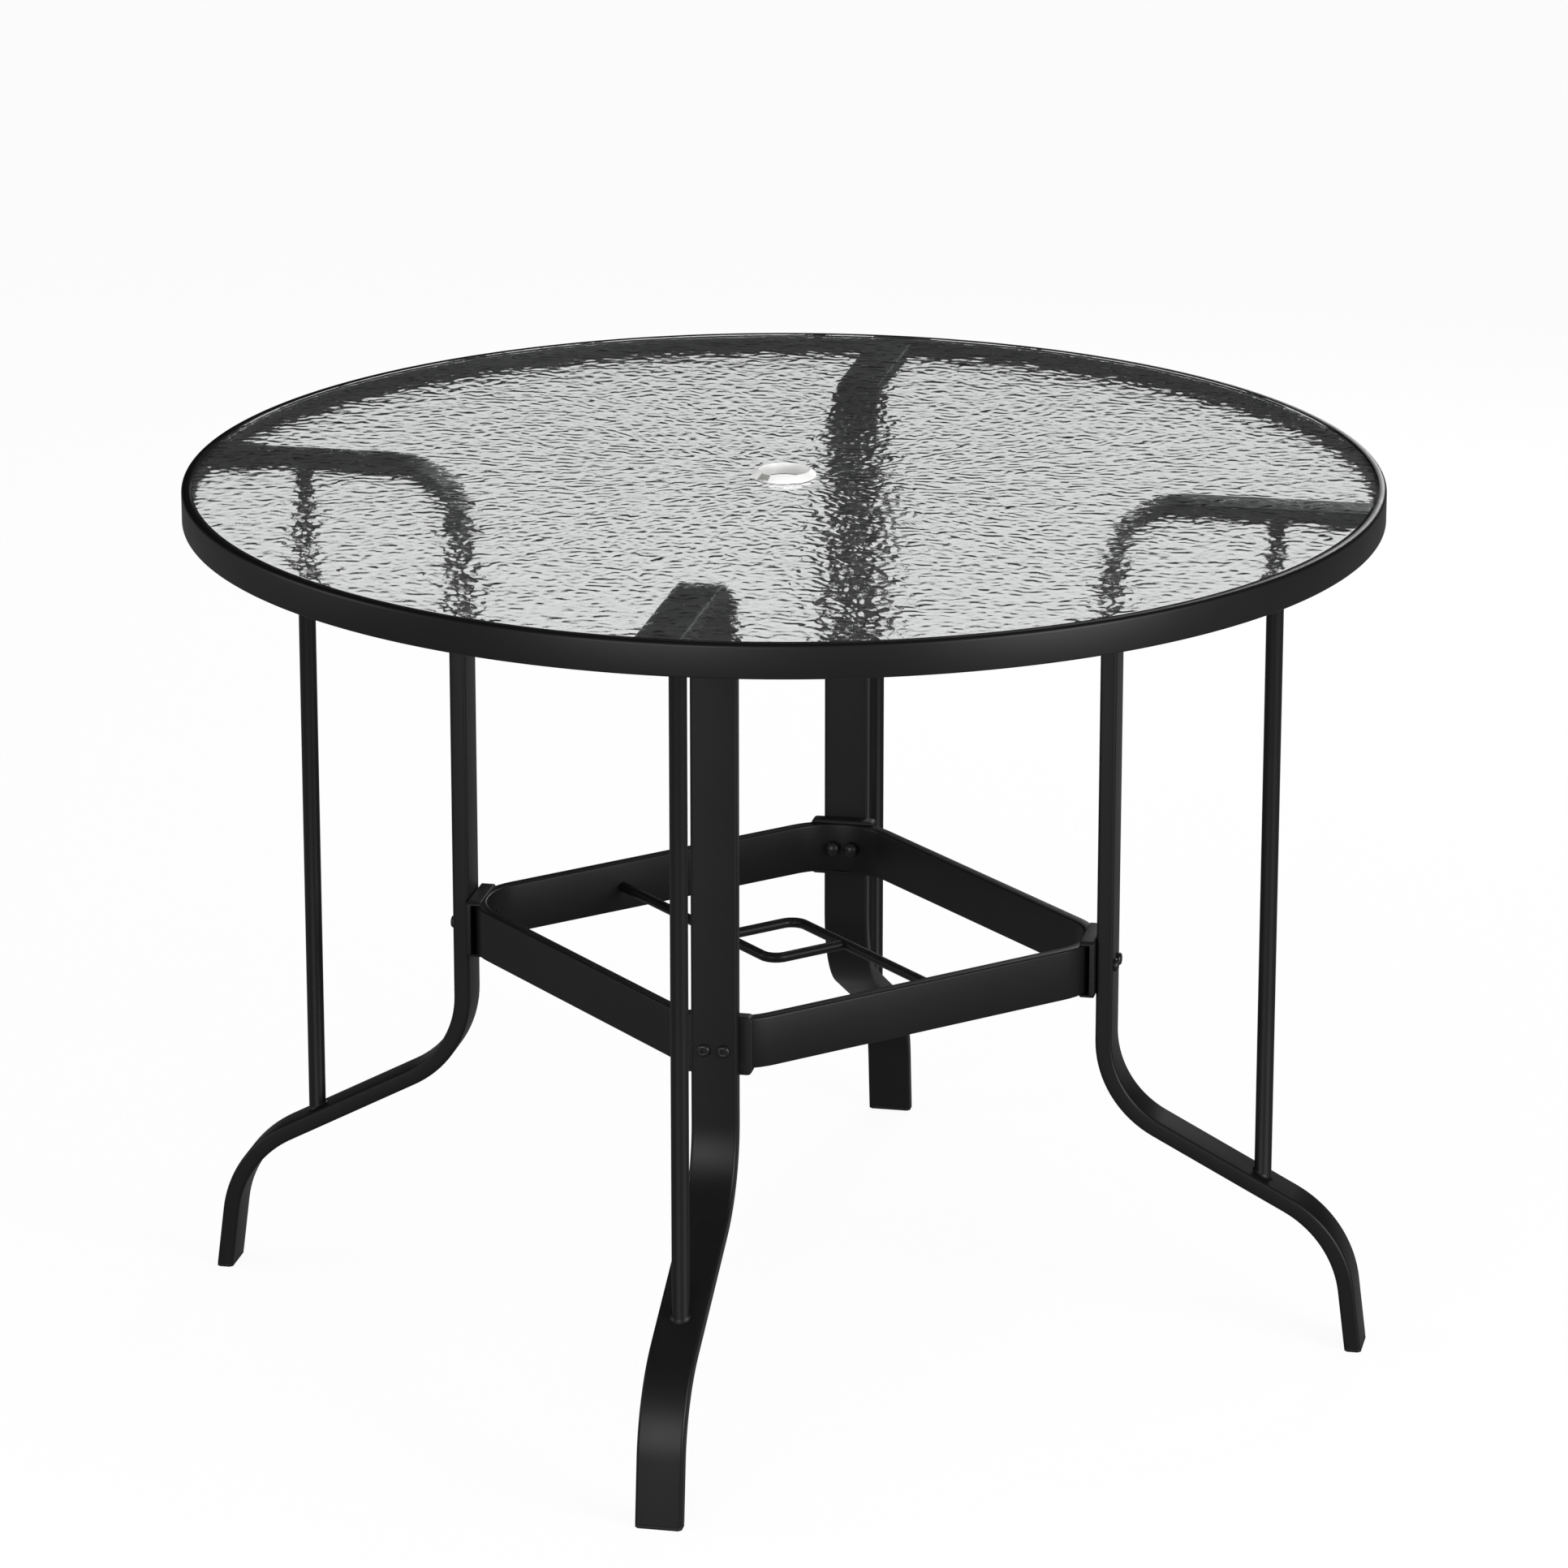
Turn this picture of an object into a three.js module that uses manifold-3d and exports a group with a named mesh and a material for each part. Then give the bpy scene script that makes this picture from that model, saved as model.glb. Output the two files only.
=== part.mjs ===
// Round patio table with a rippled glass top, four bent tube legs and a lower square frame
// that steadies an umbrella pole. Millimetres, +Z up, origin on the floor below the centre.
// The legs stand on the -Y (front), +X (right), +Y (rear) and -X (left) axes.

import * as THREE from 'three';
import { mergeVertices } from 'three/addons/utils/BufferGeometryUtils.js';
import Module from 'manifold-3d';

const wasm = await Module();
wasm.setup();

// Fits and working values shared by all pieces
const seatGap = 0.3;
const boltClearance = 0.3;
const cutOverrun = 6;
const weldTolerance = 1e-4;
const quarterTurn = Math.PI / 2;
const eighthTurn = Math.PI / 4;

// Facet counts
const tableFacets = 96;
const poleRingFacets = 48;
const rodFacets = 16;
const screwFacets = 12;
const bendSteps = 6;
const curveSegments = bendSteps / 2;
const cornerCylinderFacets = bendSteps * 4;
const guideFacets = 8;
const guideSteps = 60;

// Table top
const tableHeight = 711;
const tableRadius = 482.5;
const rimHeight = 27;
const rimWall = 6.5;
const rimTopRound = 3;
const rimBottomRound = 1.5;
const rimRoundSteps = 3;
const glassThickness = 5;
const glassEdgeGap = 1;
const glassArris = 0.8;

// Ring that lines the umbrella hole in the glass
const poleHoleRadius = 20;
const poleRingWall = 2;
const poleRingOverhang = 4.1;
const poleRingTopWall = 1.5;
const poleRingHeight = 5.5;
const poleRingDepth = 3.5;
const poleRingEdge = 1.5;
const poleRingClearance = 0.4;
const poleNotchWidth = 10.5;
const poleNotchWall = 1.8;
const poleNotchTurn = THREE.MathUtils.degToRad(-121);
const restFaceMargin = 1.2;

// Leg tube: arm under the glass, upright, sloping knee run and splayed foot. The insets are
// measured inward from the outer face of the rim.
const legWidth = 37;
const legThickness = 13.6;
const legWall = 1.5;
const legEdgeRound = 2.5;
const legInset = 214.1;
const armBend = 58;
const kneeHeight = 204.7;
const kneeBend = 84;
const kneeSlope = THREE.MathUtils.degToRad(27.9);
const ankleInset = 17.3;
const ankleBend = 95;
const footSplay = THREE.MathUtils.degToRad(7.3);

// Plastic plug that closes each foot
const plugFlange = 2.7;
const plugDepth = 20;
const plugClearance = 0.3;

// Upright brace rod between an arm and the sloping run of its leg
const braceInset = 83.6;
const braceDiameter = 14;
const braceWall = 1.2;

// Lower square frame
const frameBend = 60;
const frameThickness = 10;
const frameHeight = 42;
const frameWall = 1.2;
const frameEdgeRound = 1.5;
const frameCentreHeight = 317.5;

// Two bent rods that cross the lower frame and box in the umbrella pole
const guideDiameter = 8.4;
const guideHalf = 36;
const guideBend = 13;
const arcHandleShare = 0.5523;

// Saddle between each leg and a corner of the lower frame
const saddleWidth = 55;
const saddleLip = 2.7;
const saddleLipReach = 12;
const saddleWeb = 3.7;
const saddleCrownWeb = 2.3;
const saddleCornerRound = 4;
const saddleEdge = 0.8;

// Pairs of bolts and cap nuts that hold the legs to the lower frame
const boltSpacing = 16;
const boltShankRadius = 3;
const boltHeadRadius = 5.3;
const boltHeadHeight = 3.2;
const boltHeadSide = 0.8;
const boltHeadTopRadius = 3;
const boltSocketRadius = 2.3;
const boltSocketDepth = 2;
const boltTipGap = 0.8;
const capNutRadius = 6.2;
const capNutSide = 2.4;
const capNutHeight = 6.4;
const capNutCrown = 0.9;
const domeSteps = 3;

// Tab below each arm, welded to the rim, and the screw that holds the arm down on it
const tabWidth = 30;
const tabLength = 42;
const tabThickness = 3;
const tabCornerRound = 5;
const tabScrewInset = 22;
const tabScrewLength = 10;

// Places worked out from the sizes above
const rimInnerRadius = tableRadius - rimWall;
const glassRadius = rimInnerRadius - glassEdgeGap;
const glassBottom = tableHeight - glassThickness;
const armTop = glassBottom - seatGap;
const armHeight = armTop - legThickness / 2;
const armBottom = armTop - legThickness;
const poleRingBarrelRadius = poleHoleRadius + poleRingWall;
const poleRingFlangeRadius = poleRingBarrelRadius + poleRingOverhang;
const legRadius = tableRadius - legInset;
const legOuterFace = legRadius + legThickness / 2;
const legInnerFace = legRadius - legThickness / 2;
const braceRadius = tableRadius - braceInset;
const ankleRadius = tableRadius - ankleInset;
const ankleHeight = kneeHeight - (ankleRadius - legRadius) * Math.tan(kneeSlope);
const footRadius = ankleRadius + ankleHeight * Math.tan(footSplay);
const saddleOuterFace = legInnerFace - seatGap;
const frameCornerCentre = saddleOuterFace - saddleCrownWeb - seatGap - frameBend;
const frameHalf = frameBend + frameCornerCentre * Math.SQRT1_2;
const frameInnerBend = frameBend - frameThickness;
const boltHoleRadius = boltShankRadius + boltClearance;

// The rim's inner wall is faceted, so pieces of some width end just short of its flats.
function rimSeat(halfWidth) {
  const flatRadius = rimInnerRadius * Math.cos(Math.PI / tableFacets);
  return Math.sqrt(flatRadius ** 2 - halfWidth ** 2) - seatGap;
}

// Height of the upper face of a leg's sloping run at a radius.
function slopeTopHeight(radius) {
  const centreHeight = kneeHeight - (radius - legRadius) * Math.tan(kneeSlope);
  return centreHeight + legThickness / 2 / Math.cos(kneeSlope);
}

const steelBlack = { color: 0x232323, roughness: 0.45, metalness: 0.1 };
const plasticBlack = { color: 0x1a1a1a, roughness: 0.6, metalness: 0 };
const boltBlack = { color: 0x2b2b2b, roughness: 0.35, metalness: 0.6 };
const ringWhite = { color: 0xf2f2f0, roughness: 0.4, metalness: 0 };
const clearGlass = { color: 0xdfe6e6, roughness: 0.05, metalness: 0, transparent: true, opacity: 0.35 };

const table = new THREE.Group();

function addPiece(name, geometry, finish, parent = table) {
  const mesh = new THREE.Mesh(geometry, new THREE.MeshStandardMaterial(finish));
  mesh.name = name;
  parent.add(mesh);
  return mesh;
}

function toSolid(geometry) {
  const bare = geometry.clone();
  bare.deleteAttribute('normal');
  bare.deleteAttribute('uv');
  const welded = mergeVertices(bare, weldTolerance);
  return new wasm.Manifold(new wasm.Mesh({
    numProp: 3,
    vertProperties: welded.attributes.position.array,
    triVerts: Uint32Array.from(welded.index.array),
  }));
}

function toGeometry(solid) {
  const mesh = solid.getMesh();
  const geometry = new THREE.BufferGeometry();
  geometry.setAttribute('position', new THREE.BufferAttribute(mesh.vertProperties, mesh.numProp));
  geometry.setIndex(new THREE.BufferAttribute(mesh.triVerts, 1));
  geometry.computeVertexNormals();
  return geometry;
}

// A closed profile of [radius, height] points turned about the Z axis.
function turned(profile, facets) {
  const points = profile.map(([radius, height]) => new THREE.Vector2(radius, height));
  return new THREE.LatheGeometry(points, facets).rotateX(quarterTurn);
}

function block(low, high) {
  const size = high.map((value, axis) => value - low[axis]);
  const middle = high.map((value, axis) => (value + low[axis]) / 2);
  return new THREE.BoxGeometry(...size).translate(...middle);
}

// A hexagonal or round bar along Z, standing on the given height.
function bar(radius, low, high, facets) {
  const length = high - low;
  return new THREE.CylinderGeometry(radius, radius, length, facets)
    .rotateX(quarterTurn)
    .translate(0, 0, low + length / 2);
}

// A shape in the XY plane extruded upward, with its long edges rounded by the bevel.
function extruded(shape, height, bevel = 0) {
  return new THREE.ExtrudeGeometry(shape, {
    depth: height - bevel * 2,
    bevelEnabled: bevel > 0,
    bevelThickness: bevel,
    bevelSize: bevel,
    bevelOffset: -bevel,
    bevelSegments: 1,
    curveSegments,
  }).translate(0, 0, bevel);
}

// A shape in the XZ plane extruded along Y, centred on Y = 0.
function sideExtruded(shape, width, bevel = 0) {
  return extruded(shape, width, bevel).rotateX(quarterTurn).translate(0, width / 2, 0);
}

function roundedRectangle(target, halfWidth, halfHeight, radius) {
  const x = halfWidth - radius;
  const y = halfHeight - radius;
  target.absarc(x, y, radius, 0, quarterTurn, false);
  target.absarc(-x, y, radius, quarterTurn, quarterTurn * 2, false);
  target.absarc(-x, -y, radius, quarterTurn * 2, quarterTurn * 3, false);
  target.absarc(x, -y, radius, quarterTurn * 3, quarterTurn * 4, false);
  target.closePath();
  return target;
}

// Adds the left-hand side of a bent run to a shape: straights joined by tangent arcs.
// Each corner is { at, bend }, and bend is the radius of the run's centre line there.
function traceSide(shape, corners, offset) {
  const ways = corners.slice(1).map((corner, index) => corner.at.clone().sub(corners[index].at).normalize());
  const lefts = ways.map((way) => new THREE.Vector2(-way.y, way.x));
  const start = corners[0].at.clone().addScaledVector(lefts[0], offset);
  if (shape.curves.length === 0) shape.moveTo(start.x, start.y);
  else shape.lineTo(start.x, start.y);
  for (let index = 1; index < corners.length - 1; index += 1) {
    const { at, bend } = corners[index];
    const left = lefts[index - 1];
    const turn = Math.atan2(ways[index - 1].cross(ways[index]), ways[index - 1].dot(ways[index]));
    const side = Math.sign(turn);
    const centre = at.clone()
      .addScaledVector(ways[index - 1], -bend * Math.tan(Math.abs(turn) / 2))
      .addScaledVector(left, side * bend);
    const radius = bend - side * offset;
    const startAngle = Math.atan2(-side * left.y, -side * left.x);
    shape.lineTo(centre.x + radius * Math.cos(startAngle), centre.y + radius * Math.sin(startAngle));
    shape.absarc(centre.x, centre.y, radius, startAngle, startAngle + turn, turn < 0);
  }
  const end = corners.at(-1).at.clone().addScaledVector(lefts.at(-1), offset);
  shape.lineTo(end.x, end.y);
}

function bandShape(corners, thickness) {
  const shape = new THREE.Shape();
  traceSide(shape, corners, thickness / 2);
  traceSide(shape, [...corners].reverse(), thickness / 2);
  shape.closePath();
  return shape;
}

// Rim: a flat steel bar rolled into a ring, round on its top outer edge
function rimRing() {
  const rimBottom = tableHeight - rimHeight;
  const profile = [[rimInnerRadius, rimBottom], [tableRadius - rimBottomRound, rimBottom]];
  profile.push([tableRadius, rimBottom + rimBottomRound]);
  for (let step = 0; step <= rimRoundSteps; step += 1) {
    const angle = (quarterTurn * step) / rimRoundSteps;
    profile.push([
      tableRadius - rimTopRound * (1 - Math.cos(angle)),
      tableHeight - rimTopRound * (1 - Math.sin(angle)),
    ]);
  }
  profile.push([rimInnerRadius, tableHeight], profile[0]);
  return turned(profile, tableFacets);
}

// Glass disc with arrised edges and a hole for the umbrella pole. Its flat top is split by a
// circle just outside the hole ring's flange, and things rest on the part beyond that circle.
function glassTop() {
  const holeRadius = poleRingBarrelRadius + poleRingClearance;
  const start = [holeRadius, glassBottom];
  return turned([
    start,
    [glassRadius - glassArris, glassBottom],
    [glassRadius, glassBottom + glassArris],
    [glassRadius, tableHeight - glassArris],
    [glassRadius - glassArris, tableHeight],
    [poleRingFlangeRadius + restFaceMargin, tableHeight],
    [holeRadius, tableHeight],
    start,
  ], tableFacets);
}

// Hole ring: a barrel inside the glass below a coned flange with one flat notch
function umbrellaHoleRing() {
  const flangeBottom = tableHeight + seatGap;
  const ringTop = tableHeight + poleRingHeight;
  const ringBottom = tableHeight - poleRingDepth;
  const start = [poleHoleRadius, ringBottom];
  const body = toSolid(turned([
    start,
    [poleRingBarrelRadius, ringBottom],
    [poleRingBarrelRadius, flangeBottom],
    [poleRingFlangeRadius, flangeBottom],
    [poleRingFlangeRadius, flangeBottom + poleRingEdge],
    [poleHoleRadius + poleRingTopWall, ringTop],
    [poleHoleRadius, ringTop],
    start,
  ], poleRingFacets));
  const notch = block(
    [poleHoleRadius + poleNotchWall, -poleNotchWidth / 2, flangeBottom - seatGap / 2],
    [poleRingFlangeRadius + cutOverrun, poleNotchWidth / 2, ringTop + cutOverrun],
  ).rotateZ(poleNotchTurn);
  return toGeometry(body.subtract(toSolid(notch)));
}

const armEndRadius = rimSeat(legWidth / 2);

// Centre line of a leg, from the arm's outer end to a point below the floor.
function legCorners(armReach) {
  const below = -cutOverrun;
  const footReach = (ankleHeight - below) * Math.tan(footSplay);
  return [
    { at: new THREE.Vector2(armReach, armHeight) },
    { at: new THREE.Vector2(legRadius, armHeight), bend: armBend },
    { at: new THREE.Vector2(legRadius, kneeHeight), bend: kneeBend },
    { at: new THREE.Vector2(ankleRadius, ankleHeight), bend: ankleBend },
    { at: new THREE.Vector2(ankleRadius + footReach, below) },
  ];
}

// The leg's solid outline, drawn in from the tube's outer face by an inset.
function legBlank(inset, armReach) {
  const bevel = Math.max(legEdgeRound - inset, 0);
  const shape = bandShape(legCorners(armReach), legThickness - inset * 2);
  return toSolid(sideExtruded(shape, legWidth - inset * 2, bevel));
}

// A level slice of the space round a foot.
function footSlice(low, high) {
  return toSolid(block([footRadius - legWidth, -legWidth, low], [footRadius + legWidth, legWidth, high]));
}

function boltPairPlaces() {
  return [-boltSpacing / 2, boltSpacing / 2];
}

// Round cutters along X at both bolts of a pair.
function boltPairCut(from, to) {
  const [first, second] = boltPairPlaces().map((y) => toSolid(
    bar(boltHoleRadius, from, to, screwFacets)
      .rotateY(quarterTurn)
      .translate(0, y, frameCentreHeight),
  ));
  return first.add(second);
}

const tabEndRadius = rimSeat(tabWidth / 2);
const tabScrewRadius = tabEndRadius - tabScrewInset;

function legTube() {
  const screwHole = bar(boltHoleRadius, armBottom - cutOverrun, armBottom + legThickness / 2, screwFacets)
    .translate(tabScrewRadius, 0, 0);
  const solid = legBlank(0, armEndRadius)
    .subtract(legBlank(legWall, armEndRadius + cutOverrun))
    .subtract(footSlice(-legWidth, plugFlange + seatGap))
    .subtract(boltPairCut(legInnerFace - cutOverrun, legOuterFace + cutOverrun))
    .subtract(toSolid(screwHole));
  return toGeometry(solid);
}

// Foot plug: a flange as wide as the tube and a shank that fits inside it
function footPlug() {
  const shankInset = legWall + plugClearance;
  const flange = legBlank(0, armEndRadius).intersect(footSlice(0, plugFlange));
  const shank = legBlank(shankInset, armEndRadius).intersect(footSlice(plugFlange / 2, plugDepth));
  return toGeometry(flange.add(shank));
}

// Brace rod: a round tube with its lower end cut to the slope of the leg
function braceRod() {
  const outer = braceDiameter / 2;
  const top = armBottom - seatGap;
  const bottom = slopeTopHeight(braceRadius + braceDiameter);
  const start = [outer - braceWall, bottom];
  const tube = turned([start, [outer, bottom], [outer, top], [outer - braceWall, top], start], rodFacets);
  const inner = braceRadius - braceDiameter;
  const reach = braceRadius + braceDiameter;
  const lift = seatGap / Math.cos(kneeSlope);
  const wedge = new THREE.Shape([
    new THREE.Vector2(inner, slopeTopHeight(inner) + lift),
    new THREE.Vector2(inner, bottom - braceDiameter),
    new THREE.Vector2(reach, bottom - braceDiameter),
    new THREE.Vector2(reach, slopeTopHeight(reach) + lift),
  ]);
  const cut = sideExtruded(wedge, braceDiameter * 2).translate(-braceRadius, 0, 0);
  return toGeometry(toSolid(tube).subtract(toSolid(cut)));
}

// Lower frame: one rectangular tube bent into a square with round corners
function squareShape(inset) {
  const outline = new THREE.Shape();
  const half = frameHalf - inset;
  roundedRectangle(outline, half, half, frameBend - inset);
  const innerHalf = frameHalf - frameThickness + inset;
  outline.holes.push(roundedRectangle(new THREE.Path(), innerHalf, innerHalf, frameInnerBend + inset));
  return outline;
}

function lowerFrame() {
  const bottom = frameCentreHeight - frameHeight / 2;
  const skin = extruded(squareShape(0), frameHeight, frameEdgeRound).translate(0, 0, bottom);
  const cavity = extruded(squareShape(frameWall), frameHeight - frameWall * 2)
    .translate(0, 0, bottom + frameWall);
  const from = frameCornerCentre + frameInnerBend - frameThickness;
  const to = frameCornerCentre + frameBend + frameThickness;
  let solid = toSolid(skin.rotateZ(eighthTurn)).subtract(toSolid(cavity.rotateZ(eighthTurn)));
  for (let quarter = 0; quarter < 4; quarter += 1) {
    const turnDegrees = THREE.MathUtils.radToDeg(quarterTurn * quarter);
    solid = solid.subtract(boltPairCut(from, to).rotate([0, 0, turnDegrees]));
  }
  return toGeometry(solid);
}

// Guide rod in the frame's own axes: a long run from one rail, a bend, and a short run
// that ends on the other rod. The second rod is the same piece turned half round.
function guideRod() {
  const radius = guideDiameter / 2;
  const railEnd = frameHalf - frameThickness - seatGap;
  const bendStart = guideHalf - guideBend;
  const handle = guideBend * (1 - arcHandleShare);
  const point = (x, y) => new THREE.Vector3(x, y, 0);
  const path = new THREE.CurvePath();
  path.add(new THREE.LineCurve3(point(railEnd, guideHalf), point(-bendStart, guideHalf)));
  path.add(new THREE.CubicBezierCurve3(
    point(-bendStart, guideHalf),
    point(handle - guideHalf, guideHalf),
    point(-guideHalf, guideHalf - handle),
    point(-guideHalf, bendStart),
  ));
  path.add(new THREE.LineCurve3(
    point(-guideHalf, bendStart),
    point(-guideHalf, radius + seatGap - guideHalf),
  ));
  const section = new THREE.Shape();
  section.absarc(0, 0, radius, 0, Math.PI * 2, false);
  return new THREE.ExtrudeGeometry(section, {
    steps: guideSteps,
    curveSegments: guideFacets / 2,
    extrudePath: path,
  }).translate(0, 0, frameCentreHeight);
}

// Corner saddle: a plate against the leg with lips above and below the frame tube
function cornerSaddle() {
  const openHalf = frameHeight / 2 + seatGap;
  const halfHeight = openHalf + saddleLip;
  const plate = roundedRectangle(new THREE.Shape(), saddleWidth / 2, halfHeight, saddleCornerRound);
  const body = sideExtruded(plate, saddleLipReach, saddleEdge)
    .rotateZ(quarterTurn)
    .translate(saddleOuterFace - saddleLipReach / 2, 0, frameCentreHeight);
  const pocket = block(
    [saddleOuterFace - saddleLipReach - cutOverrun, -saddleWidth, frameCentreHeight - openHalf],
    [saddleOuterFace - saddleWeb, saddleWidth, frameCentreHeight + openHalf],
  );
  const cornerRoom = bar(
    frameBend + seatGap,
    frameCentreHeight - openHalf,
    frameCentreHeight + openHalf,
    cornerCylinderFacets,
  ).translate(frameCornerCentre, 0, 0);
  const solid = toSolid(body)
    .subtract(toSolid(pocket))
    .subtract(toSolid(cornerRoom))
    .subtract(boltPairCut(legInnerFace - legThickness, legInnerFace + legThickness));
  return toGeometry(solid);
}

// Points of a dome from its side to its crown, as [radius, height] pairs.
function domeProfile(sideRadius, crownRadius, low, high) {
  const points = [];
  for (let step = 0; step <= domeSteps; step += 1) {
    const angle = (quarterTurn * step) / domeSteps;
    points.push([
      crownRadius + (sideRadius - crownRadius) * Math.cos(angle),
      low + (high - low) * Math.sin(angle),
    ]);
  }
  return points;
}

// Button-head screw along Z: its head stands on Z = 0 and its shank points down.
function buttonScrew(shankLength) {
  const body = turned([
    [0, -shankLength],
    [boltShankRadius, -shankLength],
    [boltShankRadius, 0],
    [boltHeadRadius, 0],
    ...domeProfile(boltHeadRadius, boltHeadTopRadius, boltHeadSide, boltHeadHeight),
    [0, boltHeadHeight],
  ], screwFacets);
  const socket = bar(boltSocketRadius, boltHeadHeight - boltSocketDepth, boltHeadHeight + cutOverrun, 6);
  return toGeometry(toSolid(body).subtract(toSolid(socket)));
}

// Where the cap nuts meet the inner face of the lower frame's round corner.
function capNutSeat() {
  const flatRadius = frameInnerBend * Math.cos(quarterTurn / bendSteps / 2);
  const reach = boltSpacing / 2 + capNutRadius;
  return frameCornerCentre + Math.sqrt(flatRadius ** 2 - reach ** 2) - seatGap;
}

// Cap nut along Z: its open face lies on Z = 0 and its dome points up.
function capNut() {
  const boreDepth = capNutHeight - capNutCrown;
  return turned([
    [0, boreDepth],
    [boltHoleRadius, boreDepth],
    [boltHoleRadius, 0],
    [capNutRadius, 0],
    ...domeProfile(capNutRadius, 0, capNutSide, capNutHeight),
  ], screwFacets);
}

// Rim tab: a plate with a round inner end and a hole for its screw
function rimTab() {
  const tabTop = armBottom - seatGap;
  const corner = tabLength - tabCornerRound;
  const half = tabWidth / 2;
  const shape = new THREE.Shape();
  shape.moveTo(0, half);
  shape.lineTo(-corner, half);
  shape.absarc(-corner, half - tabCornerRound, tabCornerRound, quarterTurn, quarterTurn * 2, false);
  shape.absarc(-corner, tabCornerRound - half, tabCornerRound, quarterTurn * 2, quarterTurn * 3, false);
  shape.lineTo(0, -half);
  shape.closePath();
  const plate = extruded(shape, tabThickness).translate(tabEndRadius, 0, tabTop - tabThickness);
  const hole = bar(boltHoleRadius, tabTop - cutOverrun, tabTop + cutOverrun, screwFacets)
    .translate(tabScrewRadius, 0, 0);
  return toGeometry(toSolid(plate).subtract(toSolid(hole)));
}

addPiece('rim_ring', rimRing(), steelBlack);
addPiece('glass_top', glassTop(), clearGlass);
addPiece('umbrella_hole_ring', umbrellaHoleRing(), ringWhite);
addPiece('lower_frame', lowerFrame(), steelBlack);

for (const [name, turns] of [['guide_rod_right', 0], ['guide_rod_left', 2]]) {
  const rod = addPiece(name, guideRod(), steelBlack);
  rod.rotation.z = quarterTurn * turns - eighthTurn;
}

const boltHeadSeat = legOuterFace + seatGap;
const boltLength = boltHeadSeat - capNutSeat() + capNutHeight - capNutCrown - boltTipGap;
const tabScrewSeat = armBottom - seatGap - tabThickness - seatGap;

const legSides = [['right', 0], ['rear', 1], ['left', 2], ['front', 3]];
for (const [side, quarters] of legSides) {
  const corner = new THREE.Group();
  corner.rotation.z = quarterTurn * quarters;
  table.add(corner);
  addPiece(`leg_${side}`, legTube(), steelBlack, corner);
  addPiece(`foot_plug_${side}`, footPlug(), plasticBlack, corner);
  const brace = addPiece(`brace_rod_${side}`, braceRod(), steelBlack, corner);
  brace.position.x = braceRadius;
  addPiece(`frame_saddle_${side}`, cornerSaddle(), plasticBlack, corner);
  addPiece(`rim_tab_${side}`, rimTab(), steelBlack, corner);
  const tabScrew = addPiece(`tab_screw_${side}`, buttonScrew(tabScrewLength), boltBlack, corner);
  tabScrew.rotation.x = Math.PI;
  tabScrew.position.set(tabScrewRadius, 0, tabScrewSeat);
  boltPairPlaces().forEach((y, index) => {
    const bolt = addPiece(`frame_bolt_${side}_${index + 1}`, buttonScrew(boltLength), boltBlack, corner);
    bolt.rotation.y = quarterTurn;
    bolt.position.set(boltHeadSeat, y, frameCentreHeight);
    const nut = addPiece(`cap_nut_${side}_${index + 1}`, capNut(), boltBlack, corner);
    nut.rotation.y = -quarterTurn;
    nut.position.set(capNutSeat(), y, frameCentreHeight);
  });
}

export default table;
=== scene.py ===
"""Round patio table with a rippled glass top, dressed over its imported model.

Lengths are in millimetres and turned to metres where a mesh is made. The legs stand on the
+X (right), +Y (rear), -X (left) and -Y (front) axes, and radial means away from the centre.
"""

import math

import bmesh
import bpy
import numpy as np
from mathutils import Matrix, Vector, noise


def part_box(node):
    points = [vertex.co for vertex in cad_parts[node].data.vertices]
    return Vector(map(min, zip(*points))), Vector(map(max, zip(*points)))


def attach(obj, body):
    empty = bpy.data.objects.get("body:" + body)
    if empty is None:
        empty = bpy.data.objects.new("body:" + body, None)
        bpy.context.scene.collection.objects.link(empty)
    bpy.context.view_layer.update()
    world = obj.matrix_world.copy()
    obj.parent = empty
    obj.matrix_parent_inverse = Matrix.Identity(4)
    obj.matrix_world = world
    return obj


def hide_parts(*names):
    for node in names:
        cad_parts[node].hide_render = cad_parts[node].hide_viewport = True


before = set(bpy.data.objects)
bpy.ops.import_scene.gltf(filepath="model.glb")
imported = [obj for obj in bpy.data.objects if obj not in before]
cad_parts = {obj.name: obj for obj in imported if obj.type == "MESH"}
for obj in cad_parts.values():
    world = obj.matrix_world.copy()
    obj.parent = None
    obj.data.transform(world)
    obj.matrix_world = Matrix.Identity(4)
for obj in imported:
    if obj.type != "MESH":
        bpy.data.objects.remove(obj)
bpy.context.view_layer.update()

MM = 0.001
SEAT_GAP = 0.3
SIDES = ("right", "rear", "left", "front")
QUARTER = math.pi / 2


def mm_box(node):
    """Lowest and highest corner of a CAD node, in millimetres."""
    low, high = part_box(node)
    return np.array(low) / MM, np.array(high) / MM


# Places read from the frame
rim_low, rim_high = mm_box("rim_ring")
glass_low, glass_high = mm_box("glass_top")
ring_low, ring_high = mm_box("umbrella_hole_ring")
leg_low, leg_high = mm_box("leg_right")
rod_low, rod_high = mm_box("brace_rod_right")
frame_low, frame_high = mm_box("lower_frame")
tab_high = mm_box("rim_tab_right")[1]
nut_low, nut_high = mm_box("cap_nut_right_1")
bolt_low, bolt_high = mm_box("frame_bolt_right_1")
guide_low, guide_high = mm_box("guide_rod_right")

TABLE_RADIUS = rim_high[0]
TABLE_HEIGHT = rim_high[2]
RIM_WALL = 6.5
RIM_TOP_ROUND = 3.0
RIM_EDGE_ROUND = 1.2

GLASS_RADIUS = glass_high[0]
GLASS_HOLE_RADIUS = 22.4
GLASS_ARRIS = 0.8
GLASS_BOTTOM = glass_low[2]

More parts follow.
